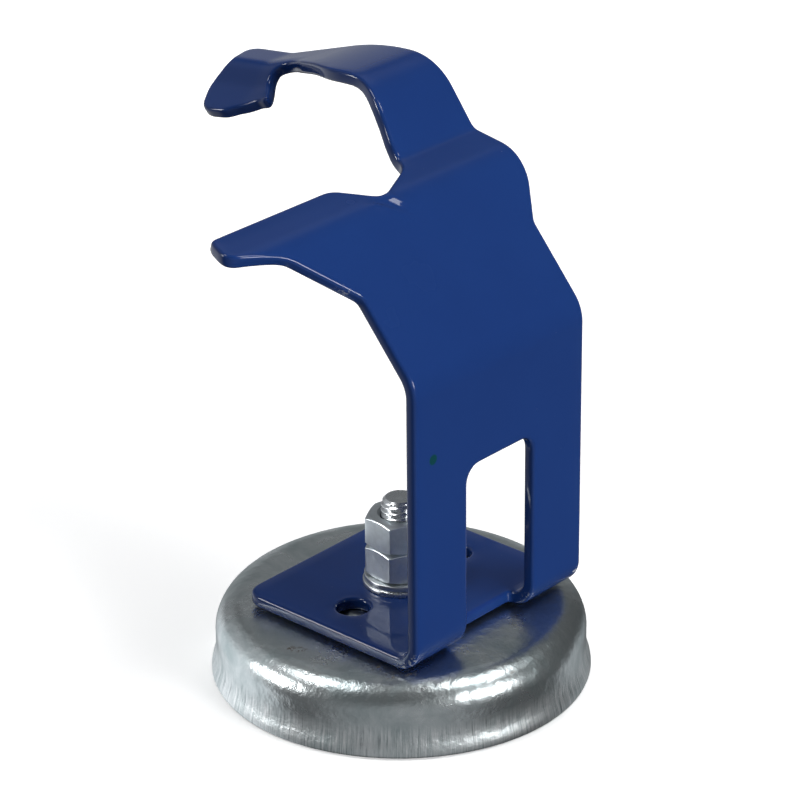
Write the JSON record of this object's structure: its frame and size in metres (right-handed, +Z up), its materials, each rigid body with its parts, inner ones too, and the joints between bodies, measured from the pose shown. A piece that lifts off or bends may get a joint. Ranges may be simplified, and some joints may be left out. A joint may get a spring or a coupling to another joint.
{
  "type": "magnetic welding gun holder",
  "caption": "Bent blue sheet-steel rest for a welding gun, bolted by a stud, washers and jam nuts to a shallow round cup magnet; the bracket swivels on the stud.",
  "frame": {"origin": "centre of the magnet's working face, on the stud's axis", "axes": "+Z up along the stud; +X towards the upright; the foot, the jaw and the arm reach towards -X; every bend of the sheet runs along Y"},
  "size_m": [0.1115, 0.0872, 0.1219],
  "materials": {
    "cup_zinc": "satin zinc plating, mottled",
    "ferrite": "dark sintered ferrite",
    "potting": "cast resin",
    "collar": "moulded collar",
    "stud_zinc": "bright zinc",
    "washer_zinc": "bright zinc",
    "nut_zinc": "bright zinc",
    "blue_paint": "glossy deep blue powder coat"
  },
  "bodies": {
    "base": {"magnet_cup": "cup_zinc", "ferrite_ring": "ferrite", "potting_ring": "potting", "head_collar": "collar", "stud": "stud_zinc", "flat_washer": "washer_zinc", "lock_washer": "washer_zinc", "lower_nut": "nut_zinc", "upper_nut": "nut_zinc"},
    "holder": {"bracket": "blue_paint"}
  },
  "joints": [
    {"name": "bracket_swivel", "type": "hinge", "parent": "base", "child": "holder", "pos_m": [0, 0, 0.0193], "axis": [0, 0, 1], "continuous": true}
  ]
}
